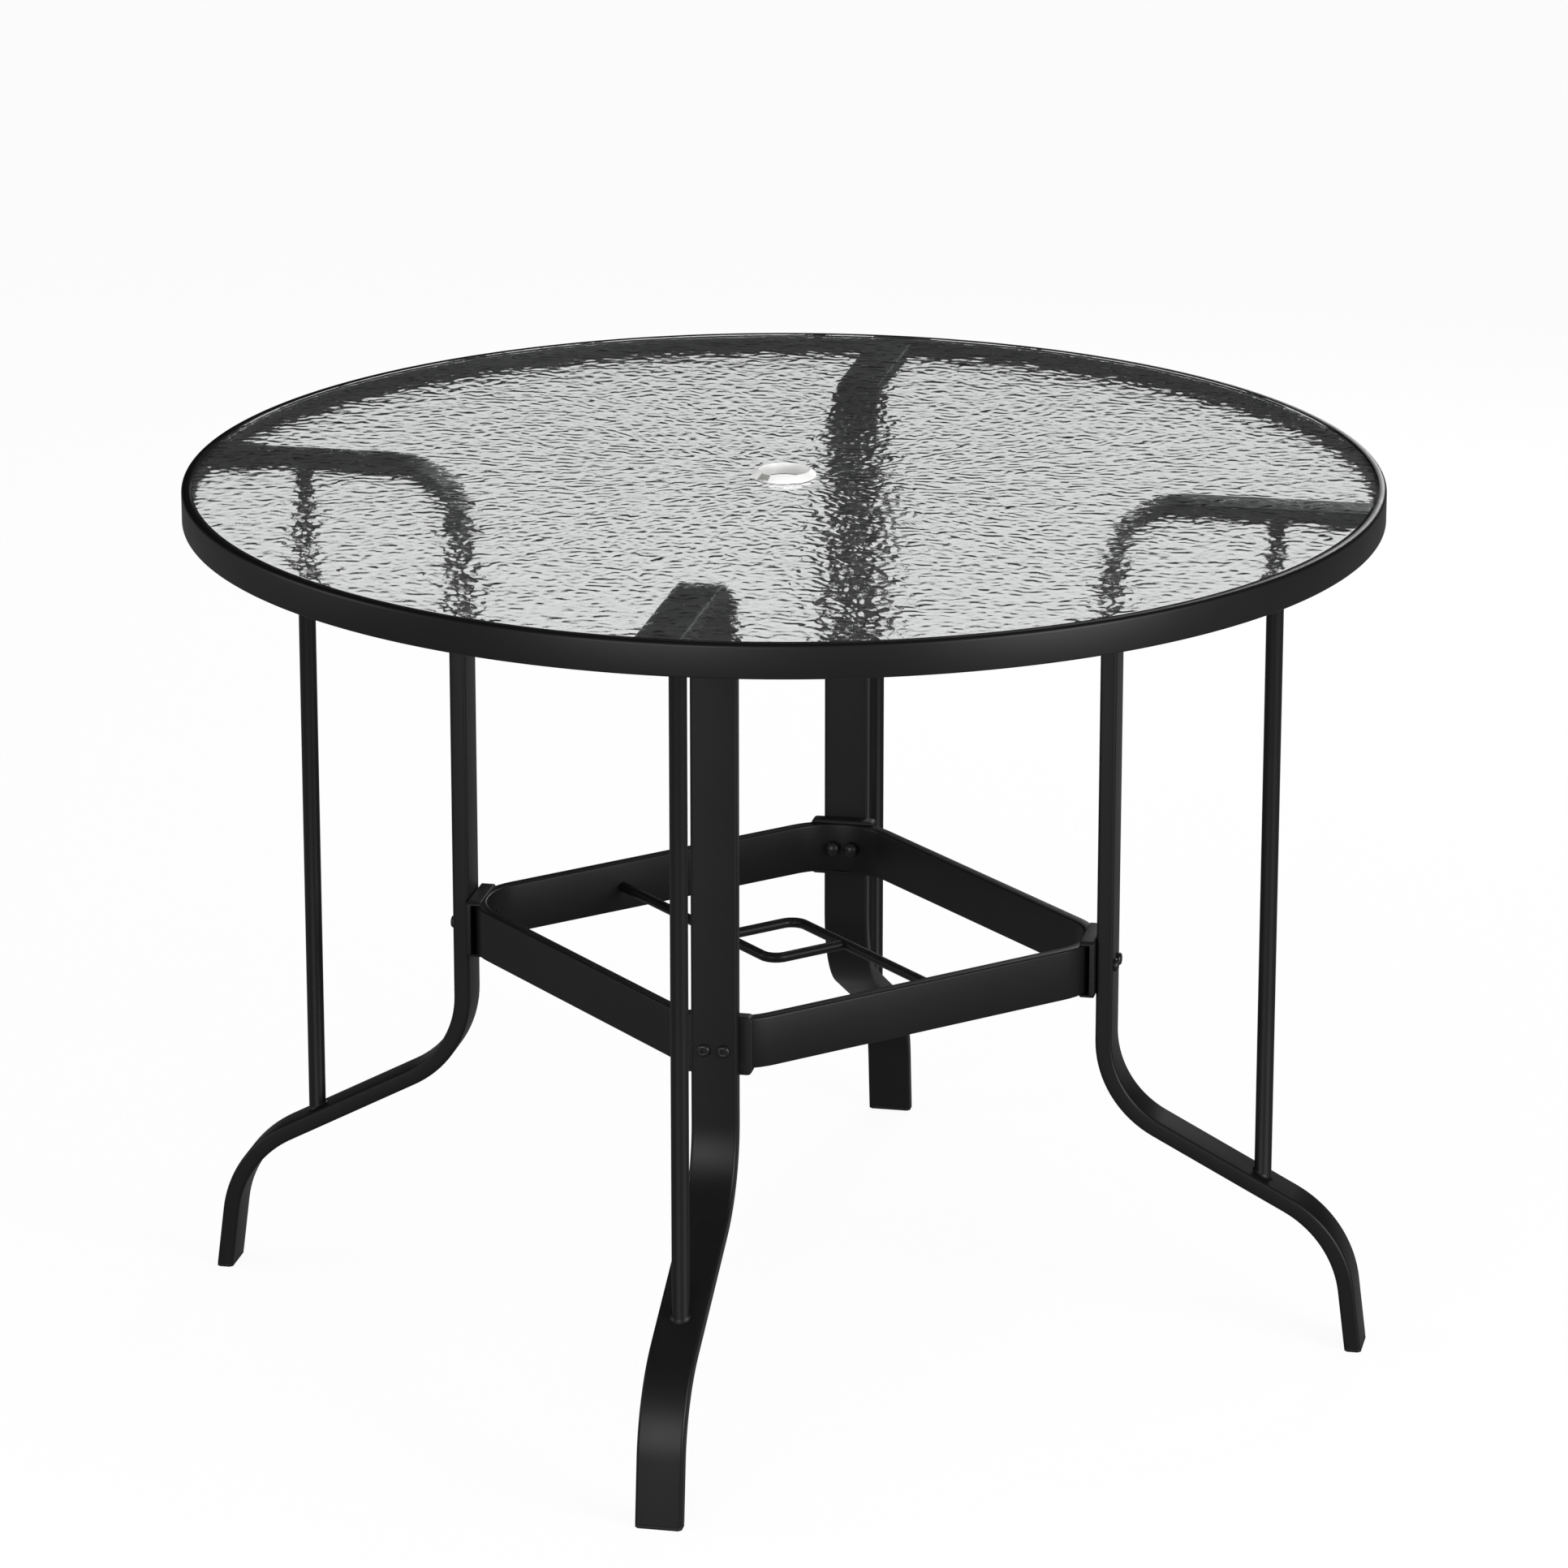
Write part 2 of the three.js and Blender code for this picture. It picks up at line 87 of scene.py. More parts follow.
HOLE_RING_BORE = 20.0
HOLE_RING_BARREL = 22.0
HOLE_RING_FLANGE = ring_high[0]
HOLE_RING_CROWN = 21.5
HOLE_RING_EDGE = 1.5
HOLE_RING_ROUND = 0.5
NOTCH_WIDTH = 10.5
NOTCH_FLOOR = 21.8
NOTCH_ANGLE = math.radians(-121)

LEG_WIDTH = leg_high[1] - leg_low[1]
LEG_THICKNESS = 13.6
LEG_ROUND = 2.6
LEG_RADIUS = leg_low[0] + LEG_THICKNESS / 2
ARM_END = math.sqrt((TABLE_RADIUS - RIM_WALL) ** 2 - LEG_WIDTH ** 2 / 4) - SEAT_GAP
ARM_HEIGHT = leg_high[2] - LEG_THICKNESS / 2
ARM_BEND = 58.0
KNEE_HEIGHT = 204.7
KNEE_BEND = 84.0
KNEE_SLOPE = math.radians(27.9)
ANKLE_RADIUS = 465.2
ANKLE_BEND = 95.0
FOOT_SPLAY = math.radians(7.3)
FOOT_TOP = leg_low[2]

BRACE_X = (rod_low[0] + rod_high[0]) / 2
BRACE_RADIUS = (rod_high[1] - rod_low[1]) / 2
# Bead at each end of a brace rod: distance from its end, and how far it stands out there
WELD_BEAD = ((0.0, 1.5), (0.6, 0.93), (1.4, 0.3), (2.4, 0.0))

FRAME_HALF = 200.5
FRAME_BEND = 60.0
FRAME_THICKNESS = 10.0
FRAME_ROUND = 1.8
FRAME_HEIGHT = frame_high[2] - frame_low[2]
FRAME_MIDDLE = (frame_low[2] + frame_high[2]) / 2

GUIDE_RADIUS = (guide_high[2] - guide_low[2]) / 2
GUIDE_HALF = 36.0
GUIDE_BEND = 13.0

BOLT_SPACING = 16.0
BOLT_SHANK_RADIUS = 3.0
BOLT_HEAD_RADIUS = 5.3
BOLT_HEAD_HEIGHT = 3.2
BOLT_HEAD_SIDE = 0.7
BOLT_CROWN_RADIUS = 3.1
SOCKET_RADIUS = 2.3
SOCKET_DEPTH = 2.0
CAP_NUT_RADIUS = 6.2
CAP_NUT_SIDE = 2.4
CAP_NUT_WALL = 0.9
CAP_NUT_EDGE = 0.3
BORE_CLEARANCE = 0.3
SCREW_TIP_CHAMFER = 0.5
SCREW_HEAD_EDGE = 0.2
SOCKET_EDGE_WIDTH = 0.25
SOCKET_EDGE_DEPTH = 0.2
TAB_SCREW_INSET = 22.0

# Rounding of the moulded and pressed pieces
SADDLE_ROUND = 0.45
PLUG_ROUND = 0.35
TAB_ROUND = 0.35

# How finely the curves are cut
RIM_CUTS = 288
RIM_INNER_EDGE_CUTS = 3
RIM_OUTER_EDGE_CUTS = 4
RIM_TOP_ROUND_CUTS = 8
RIM_SEAT_EDGE_CUTS = 2
GLASS_CUTS = 1080
GLASS_RINGS = 200
HOLE_RING_CUTS = 480
HOLE_RING_ROUND_CUTS = 3
LEG_BEND_CUTS = 18
LEG_ROUND_CUTS = 5
FRAME_BEND_CUTS = 16
FRAME_ROUND_CUTS = 4
GUIDE_BEND_CUTS = 14
BRACE_CUTS = 40
GUIDE_CUTS = 28
SCREW_CUTS = 48
SCREW_CROWN_POINTS = 8
NUT_CUTS = 40
NUT_CROWN_POINTS = 10
SOFT_EDGE_CUTS = 3

# Distances under which points of one mesh are joined
PRESSED_JOIN = 0.01
AXIS_JOIN = 0.001
AXIS_SLIVER = 0.0005
# Folds between faces of the moulded and pressed pieces: flat below the first, rounded above the second
FLAT_FOLD = math.radians(1)
SHARP_FOLD = math.radians(25)


def linear(hex_colour):
    """An sRGB hex string as a linear RGBA tuple."""
    channels = [int(hex_colour[i:i + 2], 16) / 255 for i in (0, 2, 4)]
    return tuple(c / 12.92 if c <= 0.04045 else ((c + 0.055) / 1.055) ** 2.4 for c in channels) + (1.0,)


def per_mm(size):
    """Texture scale for a pattern whose features are this many millimetres apart."""
    return 1 / (size * MM)


def add_node(tree, kind, settings=None, feeds=()):
    """Adds a shader node.

    Settings are its attributes and inputs by name, and feeds go to its inputs in order. An input
    takes a value, the socket of another node, or another node for its first socket.
    """
    node = tree.nodes.new(kind)
    given = list(zip(node.inputs, feeds))
    for name, value in (settings or {}).items():
        if name in node.inputs:
            given.append((node.inputs[name], value))
        else:
            setattr(node, name, value)
    for socket, value in given:
        if isinstance(value, bpy.types.Node):
            value = value.outputs[0]
        if isinstance(value, bpy.types.NodeSocket):
            tree.links.new(value, socket)
        else:
            socket.default_value = value
    return node


def new_material(name):
    """An empty node material, with its tree and the place on the object in the object's axes."""
    material = bpy.data.materials.new(name)
    material.use_nodes = True
    tree = material.node_tree
    tree.nodes.clear()
    return material, tree, add_node(tree, "ShaderNodeTexCoord").outputs["Object"]


def polyester_powder_coat():
    """Powder coat baked on steel: near black, satin, with a faint orange peel and uneven gloss."""
    material, tree, place = new_material("black_polyester_powder_coat")
    peel = add_node(tree, "ShaderNodeTexNoise", {
        "Vector": place, "Scale": per_mm(3.5), "Detail": 3.0, "Roughness": 0.55,
    })
    cloud = add_node(tree, "ShaderNodeTexNoise", {"Vector": place, "Scale": per_mm(70), "Detail": 2.0})
    surface = add_node(tree, "ShaderNodeBsdfPrincipled", {
        "Base Color": linear("101010"),
        "IOR": 1.5,
        "Specular IOR Level": 0.25,
        "Roughness": add_node(tree, "ShaderNodeMapRange", {"Value": cloud, "To Min": 0.36, "To Max": 0.48}),
        "Normal": add_node(tree, "ShaderNodeBump", {"Height": peel, "Strength": 0.1, "Distance": 0.05 * MM}),
    })
    add_node(tree, "ShaderNodeOutputMaterial", {"Surface": surface})
    return material


def moulded_nylon():
    """Injection-moulded black nylon: duller than the steel, with a fine spark-eroded grain."""
    material, tree, place = new_material("black_moulded_nylon")
    grain = add_node(tree, "ShaderNodeTexNoise", {"Vector": place, "Scale": per_mm(0.9), "Detail": 2.0})
    surface = add_node(tree, "ShaderNodeBsdfPrincipled", {
        "Base Color": linear("131313"),
        "IOR": 1.53,
        "Specular IOR Level": 0.25,
        "Roughness": add_node(tree, "ShaderNodeMapRange", {"Value": grain, "To Min": 0.5, "To Max": 0.62}),
        "Normal": add_node(tree, "ShaderNodeBump", {
            "Height": grain, "Strength": 0.25, "Distance": 0.06 * MM,
        }),
    })
    add_node(tree, "ShaderNodeOutputMaterial", {"Surface": surface})
    return material


def black_zinc():
    """Black zinc plate on the screws and nuts: a thin dark skin over bright steel, so it glints at edges."""
    material, tree, place = new_material("black_zinc_plate")
    stain = add_node(tree, "ShaderNodeTexNoise", {"Vector": place, "Scale": per_mm(2.5), "Detail": 3.0})
    tones = add_node(tree, "ShaderNodeValToRGB", {"Fac": stain})
    tones.color_ramp.elements[0].color = linear("1c1c1e")
    tones.color_ramp.elements[1].color = linear("343436")
    surface = add_node(tree, "ShaderNodeBsdfPrincipled", {
        "Base Color": tones,
        "Metallic": 0.6,
        "Roughness": add_node(tree, "ShaderNodeMapRange", {"Value": stain, "To Min": 0.28, "To Max": 0.42}),
    })
    add_node(tree, "ShaderNodeOutputMaterial", {"Surface": surface})
    return material


def moulded_polypropylene(name, dark, light):
    """Moulded polypropylene between two given tones: semi-gloss, slightly translucent, with soft flow marks.
    White is its own colour; the grey copy carries painted shade.
    """
    material, tree, place = new_material(name)
    flow = add_node(tree, "ShaderNodeTexNoise", {"Vector": place, "Scale": per_mm(9), "Detail": 2.0})
    tones = add_node(tree, "ShaderNodeValToRGB", {"Fac": flow})
    tones.color_ramp.elements[0].color = linear(dark)
    tones.color_ramp.elements[1].color = linear(light)
    surface = add_node(tree, "ShaderNodeBsdfPrincipled", {
        "Base Color": tones,
        "IOR": 1.49,
        "Subsurface Weight": 0.05,
        "Subsurface Radius": (1.0, 0.9, 0.8),
        "Subsurface Scale": MM,
        "Roughness": add_node(tree, "ShaderNodeMapRange", {"Value": flow, "To Min": 0.3, "To Max": 0.4}),
    })
    add_node(tree, "ShaderNodeOutputMaterial", {"Surface": surface})
    return material


def rolled_glass():
    """Tempered soda-lime glass, rolled with a ripple.

    It is clear, with a fine crackle in its underside that breaks what is seen through it into
    specks, and a little milk from the scattered light.
    """
    material, tree, place = new_material("rolled_ripple_glass")
    crackle = add_node(tree, "ShaderNodeTexNoise", {
        "Vector": place, "Scale": per_mm(3.6), "Detail": 2.0, "Roughness": 0.55, "Distortion": 0.4,
    })
    patches = add_node(tree, "ShaderNodeTexNoise", {"Vector": place, "Scale": per_mm(13), "Detail": 1.0})
    patchy = add_node(tree, "ShaderNodeMapRange", {
        "Value": patches, "From Min": 0.44, "From Max": 0.56, "To Min": 0.12, "To Max": 1.0,
    })
    height = add_node(tree, "ShaderNodeSeparateXYZ", {"Vector": place}).outputs["Z"]
    middle = (GLASS_BOTTOM + TABLE_HEIGHT) / 2 * MM
    under = add_node(tree, "ShaderNodeMath", {"operation": "LESS_THAN"}, [height, middle])
    share = add_node(tree, "ShaderNodeMath", {"operation": "MULTIPLY"}, [patchy, under])
    rise = add_node(tree, "ShaderNodeMath", {"operation": "SUBTRACT"}, [crackle, 0.5])
    rough = add_node(tree, "ShaderNodeMath", {"operation": "MULTIPLY"}, [rise, share])
    seeds = add_node(tree, "ShaderNodeTexNoise", {"Vector": place, "Scale": per_mm(7), "Detail": 2.0})
    glass = add_node(tree, "ShaderNodeBsdfPrincipled", {
        "Base Color": linear("f8f9f9"),
        "IOR": 1.5,
        "Transmission Weight": 0.98,
        "Roughness": add_node(tree, "ShaderNodeMapRange", {"Value": seeds, "To Min": 0.0, "To Max": 0.02}),
        "Normal": add_node(tree, "ShaderNodeBump", {"Height": rough, "Strength": 1.0, "Distance": 0.14 * MM}),
    })
    clear = add_node(tree, "ShaderNodeBsdfTransparent", {"Color": linear("eef1f0")})
    shadow = add_node(tree, "ShaderNodeLightPath").outputs["Is Shadow Ray"]
    surface = add_node(tree, "ShaderNodeMixShader", feeds=[shadow, glass, clear])
    add_node(tree, "ShaderNodeOutputMaterial", {"Surface": surface})
    return material


POWDER_COAT = (polyester_powder_coat(), "powder_coated_steel")
NYLON = (moulded_nylon(), "black_plastic")
ZINC = (black_zinc(), "black_fasteners")
POLYPROPYLENE = (moulded_polypropylene("white_polypropylene", "f4f4f2", "fafaf8"), "white_plastic")
# Painted shade: a grey copy of the white plastic for the faces in the notch of the hole ring, standing in for
# the shade in the notch
NOTCH_SHADE_POLYPROPYLENE = moulded_polypropylene("notch_painted_shade_polypropylene", "8e8e8b", "a8a8a5")
GLASS = (rolled_glass(), "rippled_glass")


def dress(name, obj, finish, body, node, sharp_degrees=40):
    """Gives a made piece its finish, smooth shading and its place in the frame."""
    material, slot = finish
    obj.name = name
    obj.data.name = name
    obj.data.materials.clear()
    obj.data.materials.append(material)
    obj.data.shade_smooth()
    obj.data.set_sharp_from_angle(angle=math.radians(sharp_degrees))
    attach(obj, body)
    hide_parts(node)
    return obj


def make_piece(name, points, faces, finish, body, node):
    """Makes a mesh object from points in millimetres and dresses it."""
    mesh = bpy.data.meshes.new(name)
    mesh.from_pydata((np.asarray(points) * MM).tolist(), [], faces)
    mesh.update()
    obj = bpy.data.objects.new(name, mesh)
    bpy.context.scene.collection.objects.link(obj)
    return dress(name, obj, finish, body, node)


def turn(points, angle):
    """Points turned about the vertical axis through the table's centre."""
    c, s = math.cos(angle), math.sin(angle)
    return np.asarray(points) @ np.array([[c, s, 0], [-s, c, 0], [0, 0, 1]])


def bent_run(corners, arc_steps):
    """Stations along straights joined by tangent arcs: arrays of places and unit directions.

    Each corner is (x, y, bend radius of the centre line); the ends have no bend.
    """
    spots = [np.array(corner[:2], float) for corner in corners]
    ways = [(b - a) / np.linalg.norm(b - a) for a, b in zip(spots, spots[1:])]
    places, directions = [spots[0]], [ways[0]]
    for spot, corner, before, after in zip(spots[1:], corners[1:-1], ways, ways[1:]):
        angle = math.atan2(before[0] * after[1] - before[1] * after[0], before @ after)
        left = np.array([-before[1], before[0]]) * math.copysign(corner[2], angle)
        start = spot - before * corner[2] * math.tan(abs(angle) / 2)
        for step in range(arc_steps + 1):
            part = angle * step / arc_steps
            c, s = math.cos(part), math.sin(part)
            spin = np.array([[c, -s], [s, c]])
            places.append(start + left - spin @ left)
            directions.append(spin @ before)
    places.append(spots[-1])
    directions.append(ways[-1])
    return np.array(places), np.array(directions)


def rounded_section(width, height, radius, steps):
    """Points of a rounded rectangle, anticlockwise."""
    points = []
    for corner, (sx, sy) in enumerate(((1, 1), (-1, 1), (-1, -1), (1, -1))):
        for step in range(steps + 1):
            angle = QUARTER * (corner + step / steps)
            points.append((
                sx * (width / 2 - radius) + radius * math.cos(angle),
                sy * (height / 2 - radius) + radius * math.sin(angle),
            ))
    return np.array(points)


def round_section(radius, steps):
    """Points of a circle, anticlockwise."""
    angles = np.arange(steps) * (2 * math.pi / steps)
    return np.stack([np.cos(angles), np.sin(angles)], 1) * radius


def swept_rings(places, directions, section, upright):
    """Rings of a section carried along a flat run.

    upright is True for a run in the XZ plane and False for one in the XY plane. The section's
    first axis lies square to the run's plane and its second axis in the plane.
    """
    rings = []
    for place, way in zip(places, directions):
        side = np.array([-way[1], way[0]])
        flat = place + section[:, 1:2] * side
        if upright:
            rings.append(np.stack([flat[:, 0], -section[:, 0], flat[:, 1]], 1))
        else:
            rings.append(np.stack([flat[:, 0], flat[:, 1], section[:, 0]], 1))
    return np.array(rings)


def skin(rings, closed=False):
    """Quads between rings of equal count, with flat caps unless the run closes on itself."""
    runs, count = rings.shape[:2]
    faces = []
    for run in range(runs if closed else runs - 1):
        low, high = run * count, ((run + 1) % runs) * count
        for k in range(count):
            following = (k + 1) % count
            faces.append((low + k, low + following, high + following, high + k))
    if not closed:
        faces.append(tuple(reversed(range(count))))
        faces.append(tuple(range((runs - 1) * count, runs * count)))
    return rings.reshape(-1, 3), faces


def turned_piece(profile, count, hexagonal=()):
    """Rings of a profile of (radius, height) turned about Z; those listed in hexagonal are hexagons."""
    angles = np.arange(count) * (2 * math.pi / count)
    sixth = math.pi / 3
    hexagon = math.cos(sixth / 2) / np.cos(angles % sixth - sixth / 2)
    rings = []
    for index, (radius, height) in enumerate(profile):
        reach = radius * (hexagon if index in hexagonal else 1.0)
        rings.append(np.stack([reach * np.cos(angles), reach * np.sin(angles), np.full(count, height)], 1))
    return np.array(rings)


def arc_profile(centre, radius, start, end, steps):
    """Points of an arc in a (radius, height) profile; angles in degrees from outward."""
    angles = np.radians(np.linspace(start, end, steps + 1))
    return [(centre[0] + radius * math.cos(a), centre[1] + radius * math.sin(a)) for a in angles]


def rim_ring():
    """Flat bar rolled into a ring, with a round on its top outer edge."""
    inner = TABLE_RADIUS - RIM_WALL
    bottom = rim_low[2]
    edge, top = RIM_EDGE_ROUND, RIM_TOP_ROUND
    profile = [
        *arc_profile((inner + edge, bottom + edge), edge, 180, 270, RIM_INNER_EDGE_CUTS),
        *arc_profile((TABLE_RADIUS - edge, bottom + edge), edge, 270, 360, RIM_OUTER_EDGE_CUTS),
        *arc_profile((TABLE_RADIUS - top, TABLE_HEIGHT - top), top, 0, 90, RIM_TOP_ROUND_CUTS),
        *arc_profile((inner + edge / 2, TABLE_HEIGHT - edge / 2), edge / 2, 90, 180, RIM_SEAT_EDGE_CUTS),
    ]
    points, faces = skin(turned_piece(profile, RIM_CUTS), closed=True)
    make_piece("rolled_rim", points, faces, POWDER_COAT, "frame", "rim_ring")


# Ripple of the glass underside
RIPPLE_LENGTH = 10.0
RIPPLE_DEPTH = 1.02
RIPPLE_WARP = 5.0
RIPPLE_WARP_LENGTH = 17.0
RIPPLE_FINE_LENGTH = 6.0
RIPPLE_FINE_SHARE = 0.35
# Shift of the fine ripple, so that its crests don't follow those of the coarse one
RIPPLE_FINE_SHIFT = Vector((7.3, 1.9, 0))
RIPPLE_EDGE_FADE = 4.0
RIPPLE_SEED = 5
# The warp of the ripple follows this seed
noise.seed_set(RIPPLE_SEED)


def ripple(x, y):
    """Height of the rolled ripple at a place, in millimetres above the lowest crest."""
    where = Vector((x, y, 0))
    bend = noise.noise_vector(where / RIPPLE_WARP_LENGTH) * RIPPLE_WARP
    swirl = where + Vector((bend.x, bend.y, 0))
    wave = 1 - abs(noise.noise(swirl / RIPPLE_LENGTH)) * 2
    fine = noise.noise(swirl / RIPPLE_FINE_LENGTH + RIPPLE_FINE_SHIFT)
    return RIPPLE_DEPTH * (1 - wave * (1 - RIPPLE_FINE_SHARE) - fine * RIPPLE_FINE_SHARE) / 2


def glass_top():
    """Glass disc: flat above, with a real rolled ripple in its underside."""
    circle = round_section(1.0, GLASS_CUTS)
    radii = np.linspace(GLASS_HOLE_RADIUS + GLASS_ARRIS, GLASS_RADIUS - GLASS_ARRIS, GLASS_RINGS)
    rings = []
    for radius in radii:
        flat = circle * radius
        fade = min(1.0, min(GLASS_RADIUS - radius, radius - GLASS_HOLE_RADIUS) / RIPPLE_EDGE_FADE)
        height = [GLASS_BOTTOM + ripple(x, y) * fade for x, y in flat]
        rings.append(np.column_stack([flat, height]))
    for radius, height in (
        (GLASS_RADIUS, GLASS_BOTTOM + GLASS_ARRIS),
        (GLASS_RADIUS, TABLE_HEIGHT - GLASS_ARRIS),
        (GLASS_RADIUS - GLASS_ARRIS, TABLE_HEIGHT),
        (GLASS_HOLE_RADIUS + GLASS_ARRIS, TABLE_HEIGHT),
        (GLASS_HOLE_RADIUS, TABLE_HEIGHT - GLASS_ARRIS),
        (GLASS_HOLE_RADIUS, GLASS_BOTTOM + GLASS_ARRIS),
    ):
        rings.append(np.column_stack([circle * radius, np.full(GLASS_CUTS, height)]))
    points, faces = skin(np.array(rings), closed=True)
    return make_piece("rippled_glass_disc", points, faces, GLASS, "glass", "glass_top")


def hole_ring():
    """White insert: a barrel in the glass below a coned flange with one flat notch."""
    flange_bottom = TABLE_HEIGHT + SEAT_GAP
    shoulder = flange_bottom + HOLE_RING_EDGE
    top, bottom = ring_high[2], ring_low[2]
    lean = math.atan2(HOLE_RING_FLANGE - HOLE_RING_CROWN, top - shoulder)
    edge = HOLE_RING_ROUND
    shoulder_centre = (HOLE_RING_FLANGE - edge, shoulder - edge * math.tan(lean / 2))
    crown_centre = (HOLE_RING_CROWN - edge * math.tan((QUARTER - lean) / 2), top - edge)
    profile = [
        (HOLE_RING_BORE, bottom),
        (HOLE_RING_BARREL, bottom),
        (HOLE_RING_BARREL, flange_bottom),
        (HOLE_RING_FLANGE, flange_bottom),
        *arc_profile(shoulder_centre, edge, 0, math.degrees(lean), HOLE_RING_ROUND_CUTS),
        *arc_profile(crown_centre, edge, math.degrees(lean), 90, HOLE_RING_ROUND_CUTS),
        *arc_profile((HOLE_RING_BORE + edge, top - edge), edge, 90, 180, HOLE_RING_ROUND_CUTS),
    ]
    rings = turned_piece(profile, HOLE_RING_CUTS)
    angles = np.arange(HOLE_RING_CUTS) * (2 * math.pi / HOLE_RING_CUTS)
    offset = (angles - NOTCH_ANGLE + math.pi) % (2 * math.pi) - math.pi
    beside = np.abs(offset) < QUARTER / 2
    floor = NOTCH_FLOOR / np.cos(offset)
    for ring in rings:
        reach = np.hypot(ring[:, 0], ring[:, 1])
        narrow = reach * np.abs(np.sin(offset)) < NOTCH_WIDTH / 2
        cut = beside & narrow & (reach > floor) & (ring[:, 2] >= flange_bottom)
        ring[cut, :2] *= (floor / reach)[cut, None]
    points, faces = skin(rings, closed=True)
    insert = make_piece("hole_insert", points, faces, POLYPROPYLENE, "hole_ring", "umbrella_hole_ring")
    # Painted shade: the faces inside the notch get the grey copy of the white plastic, darkened to stand in
    # for the shade there
    insert.data.materials.append(NOTCH_SHADE_POLYPROPYLENE)
    notch_way = Vector((math.cos(NOTCH_ANGLE), math.sin(NOTCH_ANGLE), 0))
    for face in insert.data.polygons:
        out = face.center.dot(notch_way) / MM
        aside = abs(face.center.cross(notch_way).z) / MM
        in_notch = aside < NOTCH_WIDTH / 2 and out > HOLE_RING_BORE + HOLE_RING_ROUND * 2
        if in_notch and TABLE_HEIGHT < face.center.z / MM < top - edge:
            face.material_index = 1


def slope_top(radius):
    """Height of the upper face of a leg's sloping run."""
    centre = KNEE_HEIGHT - (radius - LEG_RADIUS) * math.tan(KNEE_SLOPE)
    return centre + LEG_THICKNESS / 2 / math.cos(KNEE_SLOPE)


def leg_corners():
    """Corners of a leg's centre line, from the end of its arm to its foot."""
    ankle_height = KNEE_HEIGHT - (ANKLE_RADIUS - LEG_RADIUS) * math.tan(KNEE_SLOPE)
    foot_reach = (ankle_height - FOOT_TOP) * math.tan(FOOT_SPLAY)
    return [
        (ARM_END, ARM_HEIGHT),
        (LEG_RADIUS, ARM_HEIGHT, ARM_BEND),
        (LEG_RADIUS, KNEE_HEIGHT, KNEE_BEND),
        (ANKLE_RADIUS, ankle_height, ANKLE_BEND),
        (ANKLE_RADIUS + foot_reach, FOOT_TOP),
    ]


def bent_leg(side, angle):
    """Rectangular tube bent four ways, its foot cut level."""
    places, directions = bent_run(leg_corners(), LEG_BEND_CUTS)
    section = rounded_section(LEG_WIDTH, LEG_THICKNESS, LEG_ROUND, LEG_ROUND_CUTS)
    rings = swept_rings(places, directions, section, upright=True)
    way = directions[-1]
    slide = (FOOT_TOP - rings[-1][:, 2]) / way[1]
    rings[-1][:, 0] += slide * way[0]
    rings[-1][:, 2] = FOOT_TOP
    points, faces = skin(rings)
    make_piece(f"bent_leg_{side}", turn(points, angle), faces, POWDER_COAT, "frame", f"leg_{side}")


def brace_rod(side, angle):
    """Round tube welded upright between the arm and the sloping run, with a bead at each end."""
    circle = round_section(1.0, BRACE_CUTS)
    rings = []
    for lift, flare in WELD_BEAD:
        ring = circle * (BRACE_RADIUS + flare)
        height = [slope_top(BRACE_X + x) + SEAT_GAP / math.cos(KNEE_SLOPE) + lift for x in ring[:, 0]]
        rings.append(np.column_stack([ring, height]))
    for lift, flare in reversed(WELD_BEAD):
        ring = circle * (BRACE_RADIUS + flare)
        rings.append(np.column_stack([ring, np.full(len(ring), rod_high[2] - lift)]))
    rings = np.array(rings) + [BRACE_X, 0, 0]
    points, faces = skin(rings)
    make_piece(f"brace_tube_{side}", turn(points, angle), faces, POWDER_COAT, "frame", f"brace_rod_{side}")


def lower_frame():
    """One rectangular tube bent into a square; its corners point at the legs."""
    half = FRAME_HALF - FRAME_THICKNESS / 2
    bend = FRAME_BEND - FRAME_THICKNESS / 2
    bends = [(x * half, y * half, bend) for x, y in ((1, 1), (-1, 1), (-1, -1), (1, -1))]
    places, directions = bent_run([(half, 0), *bends, (half, 0)], FRAME_BEND_CUTS)
    section = rounded_section(FRAME_HEIGHT, FRAME_THICKNESS, FRAME_ROUND, FRAME_ROUND_CUTS)
    rings = swept_rings(places[:-1], directions[:-1], section, upright=False) + [0, 0, FRAME_MIDDLE]
    points, faces = skin(rings, closed=True)
    make_piece("square_frame", turn(points, QUARTER / 2), faces, POWDER_COAT, "frame", "lower_frame")


def guide_rod(side, angle):
    """Bent rod of the pole guide, welded to a rail and to the other rod."""
    start = FRAME_HALF - FRAME_THICKNESS - SEAT_GAP
    end = GUIDE_RADIUS + SEAT_GAP - GUIDE_HALF
    run = [(start, GUIDE_HALF), (-GUIDE_HALF, GUIDE_HALF, GUIDE_BEND), (-GUIDE_HALF, end)]
    places, directions = bent_run(run, GUIDE_BEND_CUTS)
    rings = swept_rings(places, directions, round_section(GUIDE_RADIUS, GUIDE_CUTS), upright=False)
    points, faces = skin(rings + [0, 0, FRAME_MIDDLE])
    make_piece(f"pole_guide_{side}", turn(points, angle), faces, POWDER_COAT, "frame", f"guide_rod_{side}")


